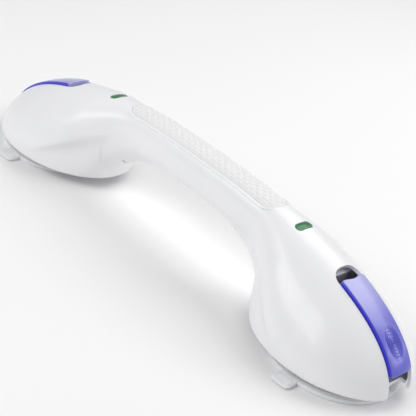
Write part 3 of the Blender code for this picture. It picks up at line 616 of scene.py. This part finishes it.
cupForm = {
    "radius": 47.5 * mm, "lip": 3.0 * mm, "boss": 7.4 * mm, "face": 34 * mm, "hollow": 1.8 * mm,
    "stemR": 3.9 * mm, "stemFoot": 3.8 * mm, "reach": 10.5 * mm, "tabTurn": 8.6,
    "stretchFrom": 44 * mm, "tabLow": 0.3 * mm, "tabHigh": 2.5 * mm,
    "ribPitch": 1.9 * mm, "ribHeight": 0.35 * mm, "stepPitch": 1.7 * mm, "stepHeight": 0.22 * mm,
}


def cupTop(radius):
    # cone from the boss out to the lip, with fine steps near the lip
    form = cupForm
    share = np.clip((radius - 16 * mm) / (form["radius"] - 16 * mm), 0, 1)
    steps = form["stepHeight"] * 0.5 * (1 + np.cos(2 * math.pi * radius / form["stepPitch"]))
    steps = steps * smooth((radius - 24 * mm) / (2 * mm)) * smooth((46.5 * mm - radius) / mm)
    return 6.0 * mm + (form["lip"] - 6.0 * mm) * share + steps


def makeCup(side, material):
    # polar grid: rows from the middle out over the top, round the lip and back underneath;
    # the outer rows stretch into the pull tab
    form = cupForm
    centre = boxMiddle(f"cup_stem_{side}")
    share = np.linspace(-1, 1, 361)
    turn = 180 * (0.86 * share ** 3 + 0.14 * share)
    bump = np.clip(1 - np.abs(turn / form["tabTurn"]) ** 6, 0, 1) ** (1 / 3)
    angle = np.radians(turn) - rightAngle
    outerTop = np.linspace(16 * mm, form["stretchFrom"], 60)
    tabTop = np.linspace(form["stretchFrom"], form["radius"] - 0.6 * mm, 34)[1:]
    roundTurn = np.linspace(0, math.pi, 9)[1:-1]
    rows = [(0, form["stemFoot"]), (form["stemR"], form["stemFoot"]),
            (form["stemR"], form["boss"] - 0.4 * mm), (form["stemR"] + 0.4 * mm, form["boss"]),
            (11.4 * mm, form["boss"]), (11.9 * mm, 7.2 * mm), (13.2 * mm, 6.45 * mm),
            (14.5 * mm, 6.15 * mm)]
    top = [(r, float(cupTop(r))) for r in np.concatenate([outerTop, tabTop])]
    lipMiddle, lipHalf = form["lip"] / 2, form["lip"] / 2
    lip = [(form["radius"] - 0.6 * mm + 0.6 * mm * math.sin(a),
            lipMiddle + lipHalf * math.cos(a)) for a in roundTurn]
    below = [(r, 0.0) for r in np.linspace(form["radius"] - 0.6 * mm, form["face"], 14)]
    hollow = [(31.5 * mm, form["hollow"] * 0.7), (30 * mm, form["hollow"]), (0, form["hollow"])]
    profile = np.array(rows + top + lip + below + hollow)
    radius, height = profile[:, :1], profile[:, 1:2]
    stretch = np.clip((radius - form["stretchFrom"]) / (form["radius"] - form["stretchFrom"]),
                      0, 1)
    reach = radius + form["reach"] * stretch * bump
    past = smooth((reach - form["radius"] - 0.3 * mm) / (1.5 * mm))
    ribs = form["ribHeight"] * np.cos(2 * math.pi * reach / form["ribPitch"])
    ribs = ribs * smooth((0.75 - np.abs(turn / form["tabTurn"])) / 0.15)
    ribs = ribs * smooth((form["radius"] + form["reach"] - 1.2 * mm - reach) / mm)
    middle = (form["tabLow"] + form["tabHigh"]) / 2
    squeeze = (form["tabHigh"] - form["tabLow"]) / form["lip"]
    tabZ = middle + (height - lipMiddle) * squeeze
    tabZ = tabZ + ribs * (height > lipMiddle)
    z = height + (tabZ - height) * past * (bump > 0)
    grid = np.stack([reach * np.cos(angle) + centre.x, reach * np.sin(angle), z], -1)
    cup = pieceFromGrids(f"rubberCup_{side}", [grid], 50)
    finish(cup, material, f"cup_{side}", "cup_rubber", f"suction_cup_{side}")



feelerForm = {"radius": 1.7 * mm, "groove": 0.25 * mm,
              "grooveLevels": (5.5 * mm, 5.7 * mm, 6.3 * mm, 6.5 * mm),
              "collarR": 3.4 * mm, "collarLow": 22.5 * mm, "collarHigh": 24 * mm}


def makeFeeler(side, material):
    # chrome pin with a domed tip, a fine groove above it and the spring's collar
    form = feelerForm
    low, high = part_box(f"feeler_pin_{side}")
    centre = (low + high) / 2
    radius = form["radius"]
    dome = [(radius * math.sin(a), low.z + radius * (1 - math.cos(a)))
            for a in np.linspace(0, rightAngle, 9)]
    first, second, third, fourth = form["grooveLevels"]
    neck = radius - form["groove"]
    body = [(radius, first), (neck, second), (neck, third), (radius, fourth),
            (radius, form["collarLow"]), (form["collarR"], form["collarLow"]),
            (form["collarR"], form["collarHigh"]), (radius, form["collarHigh"]),
            (radius, high.z), (0, high.z)]
    grid = turnedGrid(plainProfile(dome + body), (centre.x, centre.y - middleY, 0), 40)
    pin = pieceFromGrids(f"chromeFeeler_{side}", [grid])
    finish(pin, material, f"feeler_{side}", "chrome_pin", f"feeler_pin_{side}")


screwForm = {"headR": 3.0 * mm, "headT": 1.6 * mm, "shankR": 1.4 * mm, "pitch": 0.7 * mm,
             "threadDepth": 0.13 * mm, "threadFrom": 0.6 * mm, "threadEnd": 0.9 * mm,
             "crownR": 1.9 * mm, "crownRound": (1.1 * mm, 0.9 * mm), "crownBase": 0.7 * mm,
             "lobing": 0.14}


def makeScrew(node, name, material):
    # head down: threaded shank, pan head and a six-lobed recess
    form = screwForm
    low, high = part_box(node)
    centre = (low + high) / 2
    headR, shankR, seat = form["headR"], form["shankR"], low.z + form["headT"]
    thread = np.linspace(seat + form["threadFrom"], high.z - form["threadEnd"], 33)
    wave = shankR - form["threadDepth"] * (1 + np.cos(2 * math.pi * thread / form["pitch"]))
    shank = [(0, high.z, 0), (0.5 * shankR, high.z, 0)]
    shank += [(r, z, 0) for r, z in zip(wave[::-1], thread[::-1])]
    roundOut, roundDown = form["crownRound"]
    crown = [(form["crownR"] + roundOut * math.cos(a),
              seat - form["crownBase"] - roundDown * math.sin(a), 0)
             for a in np.linspace(0, rightAngle, 7)]
    lobing = form["lobing"]
    recess = [(1.35 * mm, low.z, lobing), (1.3 * mm, low.z + 0.15 * mm, lobing),
              (1.2 * mm, low.z + 1.0 * mm, lobing), (0, low.z + 1.15 * mm, 0)]
    profile = [*shank, (shankR, seat, 0), (headR, seat, 0), *crown, *recess]
    grid = turnedGrid(profile, (centre.x, centre.y - middleY, 0), 48)
    screw = pieceFromGrids(name, [grid])
    finish(screw, material, "shell_body", "bright_steel", node)


class Wire:
    # one socket of a material's nodes, with the sums its value can go through
    def __init__(self, tree, socket):
        self.tree, self.socket = tree, socket

    def make(self, kind, settings, inputs, output=0):
        node = self.tree.nodes.new(kind)
        for key, value in settings.items():
            if key == "stops":
                ramp = node.color_ramp
                while len(ramp.elements) < len(value):
                    ramp.elements.new(0.5)
                for element, (place, colour) in zip(ramp.elements, value):
                    element.position, element.color = place, (*colour, 1)
            else:
                setattr(node, key, value)
        for key, value in inputs.items():
            if isinstance(value, Wire):
                self.tree.links.new(value.socket, node.inputs[key])
            else:
                node.inputs[key].default_value = value
        return Wire(self.tree, node.outputs[output])

    def sum(self, operation, first, second):
        return self.make("ShaderNodeMath", {"operation": operation}, {0: first, 1: second})

    def __add__(self, other):
        return self.sum("ADD", self, other)

    __radd__ = __add__

    def __sub__(self, other):
        return self.sum("SUBTRACT", self, other)

    def __rsub__(self, other):
        return self.sum("SUBTRACT", other, self)

    def __mul__(self, other):
        return self.sum("MULTIPLY", self, other)

    __rmul__ = __mul__

    def step(self, low, high):
        # 0 to 1 as the value goes between two limits, level at both ends
        return self.make("ShaderNodeMapRange", {"interpolation_type": "SMOOTHSTEP"},
                         {"Value": self, "From Min": low, "From Max": high})

    def noise(self, scale, detail=3.0, rough=0.5):
        return self.make("ShaderNodeTexNoise", {}, {"Vector": self, "Scale": scale,
                                                    "Detail": detail, "Roughness": rough})

    def colours(self, first, second):
        # this value chooses between two colours, each a constant or a wire of its own
        first, second = (colour if isinstance(colour, Wire) else (*colour, 1)
                         for colour in (first, second))
        return self.make("ShaderNodeMix", {"data_type": "RGBA"}, {0: self, 6: first, 7: second},
                         2)

    def dot(self, direction):
        return self.make("ShaderNodeVectorMath", {"operation": "DOT_PRODUCT"},
                         {0: self, 1: direction}, 1)

    def bump(self, strength, distance):
        return self.make("ShaderNodeBump", {}, {"Height": self, "Strength": strength,
                                                "Distance": distance})


class Finish:
    # one material: constants go on the shader's sockets, what varies is fed by wires
    def __init__(self, name, **constants):
        self.material = bpy.data.materials.new(name)
        self.material.use_nodes = True
        tree = self.material.node_tree
        self.shader = tree.nodes["Principled BSDF"]
        for key, value in constants.items():
            self.shader.inputs[key.replace("_", " ")].default_value = value
        self.place = Wire(tree, tree.nodes.new("ShaderNodeTexCoord").outputs["Object"])

    def feed(self, **wires):
        for key, wire in wires.items():
            wire.tree.links.new(wire.socket, self.shader.inputs[key.replace("_", " ")])
        return self.material


def shellWhite():
    # satin moulding: faint cloudiness, soft smudges in the gloss and a hint of orange peel
    white = Finish("shellWhite", Coat_Weight=0.25, Coat_Roughness=0.12)
    cloud = white.place.noise(22)
    smudge = white.place.noise(90, 5.0, 0.65)
    peel = white.place.noise(1400, 1.0)
    return white.feed(Base_Color=cloud.colours((0.86, 0.865, 0.88), (0.90, 0.90, 0.91)),
                      Roughness=0.30 + 0.12 * smudge, Normal=peel.bump(0.25, 0.00004))


def gripWhite():
    # softer, slightly warmer white with a fine matt grain
    white = Finish("gripWhite")
    cloud = white.place.noise(40)
    grain = white.place.noise(2600, 2.0)
    return white.feed(Base_Color=cloud.colours((0.80, 0.80, 0.81), (0.87, 0.87, 0.875)),
                      Roughness=0.46 + 0.12 * grain, Normal=grain.bump(0.35, 0.00006))


def leverBlue():
    # deep pigmented gloss with light handling marks; the top is painted paler as a highlight,
    # strongest towards the bar's middle and fading towards the tip, and both long sides are left a
    # darker, fuller blue without it
    blue = Finish("leverBlue", Coat_Weight=0.6, Coat_Roughness=0.16)
    flow = blue.place.noise(60, 4.0)
    marks = blue.place.noise(420, 6.0, 0.7)
    peel = blue.place.noise(1100, 1.0)
    along, across = blue.place.dot((1, 0, 0)), blue.place.dot((0, 1, 0)) - middleY
    form = leverForm
    # painted highlight: full on the top towards the bar's middle, gone towards the tip
    towardsTip = (along * along).step(form["sheenFrom"] ** 2, form["sheenTo"] ** 2)
    # mask across the lever: the painted highlight on the top gives way to a darker, saturated blue
    # on the long sides
    edge = (across * across).step(form["edgeFrom"] ** 2, form["edgeTo"] ** 2)
    deep = flow.colours((0.10, 0.10, 0.60), (0.14, 0.14, 0.68))
    # paler copy of the blue, painted on the top as a highlight
    paintedSheen = flow.colours((0.36, 0.36, 0.74), (0.44, 0.44, 0.80))
    top = towardsTip.colours(paintedSheen, deep)
    return blue.feed(Base_Color=edge.colours(top, (0.02, 0.02, 0.62)),
                     Roughness=0.30 + 0.16 * marks.step(0.35, 0.75),
                     Normal=peel.bump(0.2, 0.00004))


def housingGrey():
    # dull inner moulding with a spark-eroded texture
    grey = Finish("housingGrey")
    spark = grey.place.noise(1900, 3.0, 0.6)
    cloud = grey.place.noise(70)
    return grey.feed(Base_Color=cloud.colours((0.74, 0.74, 0.76), (0.84, 0.84, 0.86)),
                     Roughness=0.5 + 0.15 * spark, Normal=spark.bump(0.5, 0.00008))


def cupRubber():
    # cloudy translucent rubber: pale skin, greyer flow lines and a satin bloom
    rubber = Finish("cupRubber", Subsurface_Weight=0.3, Subsurface_Scale=0.003,
                    Subsurface_Radius=(1, 1, 1))
    flow = rubber.place.noise(55, 4.0)
    bloom = rubber.place.noise(700, 3.0)
    return rubber.feed(Base_Color=flow.colours((0.80, 0.81, 0.83), (0.90, 0.90, 0.92)),
                       Roughness=0.28 + 0.2 * bloom, Normal=bloom.bump(0.3, 0.00005))


def windowGreen():
    # green tinted gloss, half clear; the tint hides most of the drum's own colour
    tint = Finish("windowGreen", Coat_Weight=0.4, Coat_Roughness=0.12, Alpha=0.55)
    flow = tint.place.noise(260, 2.0)
    fine = tint.place.noise(900, 2.0)
    return tint.feed(Base_Color=flow.colours((0.015, 0.22, 0.06), (0.035, 0.32, 0.10)),
                      Roughness=0.2 + 0.1 * fine)


def drumColours(side):
    # green drum whose sector towards +X, 60 degrees from the top, is red
    centre = boxMiddle(f"indicator_drum_{side}")
    drum = Finish(f"drumColours_{side}")
    tilt = math.radians(60)
    direction = (math.sin(tilt), 0, math.cos(tilt))
    along = drum.place.dot(direction)
    offset = centre.x * direction[0] + centre.z * direction[2]
    sector = (along - offset).step(4.8 * mm, 4.95 * mm)
    grain = drum.place.noise(1500, 2.0)
    return drum.feed(Base_Color=sector.colours((0.03, 0.34, 0.09), (0.85, 0.02, 0.02)),
                     Roughness=0.4 + 0.15 * grain, Normal=grain.bump(0.3, 0.00004))


def metal(name, dark, light, roughness, lineScale):
    # turned metal: fine rings across the height, and a cloudy polish
    steel = Finish(name, Metallic=1.0)
    height = steel.place.dot((0, 0, 1))
    rings = steel.place.make("ShaderNodeMath", {"operation": "SINE"}, {0: height * lineScale})
    polish = steel.place.noise(600, 4.0)
    return steel.feed(Base_Color=polish.colours(dark, light),
                      Roughness=roughness + 0.12 * polish, Normal=rings.bump(0.08, 0.00002))


print("making materials")
white = shellWhite()
inlay = gripWhite()
blue = leverBlue()
grey = housingGrey()
rubber = cupRubber()
green = windowGreen()
steel = metal("brightSteel", (0.52, 0.52, 0.54), (0.66, 0.66, 0.68), 0.22, 9000)
chrome = metal("polishedChrome", (0.62, 0.63, 0.65), (0.74, 0.75, 0.77), 0.06, 4000)

print("making the shell, the panel and the cover")
makeShell(white)
makePanel(inlay)
makeCover(white)
for number in (1, 2, 3):
    makeScrew(f"cover_screw_{number}", f"coverScrew_{number}", steel)
for side, sign in sides.items():
    print("making the", side, "bell's pieces")
    makeLens(side, green)
    makeDrum(side, drumColours(side))
    makeLever(side, sign, blue)
    makeCup(side, rubber)
    makeFeeler(side, chrome)
    for number in (1, 2, 3, 4):
        makeScrew(f"plate_screw_{number}_{side}", f"plateScrew_{number}_{side}", steel)

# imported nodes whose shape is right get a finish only
carried = {"base_plate": white, "indicator_bracket": white, "cam_housing": grey,
           "wear_plate": steel, "cup_stem": steel, "lever_pin": steel, "feeler_spring": steel}
for side in sides:
    for stem, material in carried.items():
        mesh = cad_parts[f"{stem}_{side}"].data
        if not mesh.materials:
            mesh.materials.append(material)
        for index in range(len(mesh.materials)):
            mesh.materials[index] = material



stageForm = {"floorSize": 8.0, "floorColour": (0.9, 0.9, 0.905), "world": 0.38,
             # name: place, aim, size and power
             "lights": {
                 "topSoft": ((0.1, 0.75, 1.05), (0, 0, 0), (1.2, 0.8), 8),
                 "frontSoft": ((-0.3, -1.0, 1.0), (0, 0, 0.03), (1.1, 0.8), 9.5),
                 "rightSoft": ((0.9, 0.95, 0.55), (0.1, 0, 0.03), (0.6, 0.5), 3)}}


def makeFloor():
    # plain pale floor under the cups
    half = stageForm["floorSize"] / 2
    corner = np.linspace(-half, half, 3)
    x, y = np.meshgrid(corner, corner, indexing="ij")
    mesh = bpy.data.meshes.new("floor")
    points = np.stack([x, y, 0 * x], -1).reshape(-1, 3)
    mesh.from_pydata(points.tolist(), [], quads(3, 3, 0).tolist())
    floor = bpy.data.objects.new("floor", mesh)
    bpy.context.scene.collection.objects.link(floor)
    paper = Finish("floorPaper", Roughness=0.9)
    cloud = paper.place.noise(3)
    red, greenShare, blueShare = stageForm["floorColour"]
    mesh.materials.append(paper.feed(Base_Color=cloud.colours(
        (red, greenShare, blueShare), (red + 0.01, greenShare + 0.01, blueShare + 0.01))))


def areaLight(name, place, aim, size, power):
    data = bpy.data.lights.new(name, "AREA")
    data.shape = "RECTANGLE"
    data.size, data.size_y = size
    data.energy = power
    light = bpy.data.objects.new(name, data)
    light.location = place
    away = Vector(place) - Vector(aim)
    light.rotation_euler = away.to_track_quat("Z", "Y").to_euler()
    bpy.context.scene.collection.objects.link(light)


def makeWorld():
    world = bpy.data.worlds.new("studio")
    world.use_nodes = True
    backdrop = world.node_tree.nodes["Background"]
    backdrop.inputs["Color"].default_value = (1, 1, 1, 1)
    backdrop.inputs["Strength"].default_value = stageForm["world"]
    bpy.context.scene.world = world


cameraForm = {"azimuth": 39.09, "elevation": 28.92, "roll": 15.02, "distance": 806.9 * mm,
              "lens": 95.0, "target": (12.9 * mm, 2.5 * mm, 36.7 * mm)}


def makeCamera():
    # looks back along a direction given by azimuth and elevation, rolled about its own axis
    form = cameraForm
    turn, rise, roll = (math.radians(form[key]) for key in ("azimuth", "elevation", "roll"))
    back = Vector((math.sin(turn) * math.cos(rise), -math.cos(turn) * math.cos(rise),
                   math.sin(rise)))
    right = Vector((0, 0, 1)).cross(back).normalized()
    up = back.cross(right)
    rolledRight = right * math.cos(roll) + up * math.sin(roll)
    rolledUp = up * math.cos(roll) - right * math.sin(roll)
    data = bpy.data.cameras.new("camera")
    data.lens = form["lens"]
    data.sensor_width = 36
    data.clip_end = 20
    camera = bpy.data.objects.new("camera", data)
    x, y, z = form["target"]
    place = Vector((x, y + middleY, z)) + back * form["distance"]
    pose = Matrix((rolledRight, rolledUp, back)).transposed().to_4x4()
    pose.translation = place
    camera.matrix_world = pose
    bpy.context.scene.collection.objects.link(camera)
    bpy.context.scene.camera = camera


print("setting the stage")
makeFloor()
makeWorld()
for name, settings in stageForm["lights"].items():
    areaLight(name, *settings)
makeCamera()
bpy.context.scene.view_settings.view_transform = "Standard"
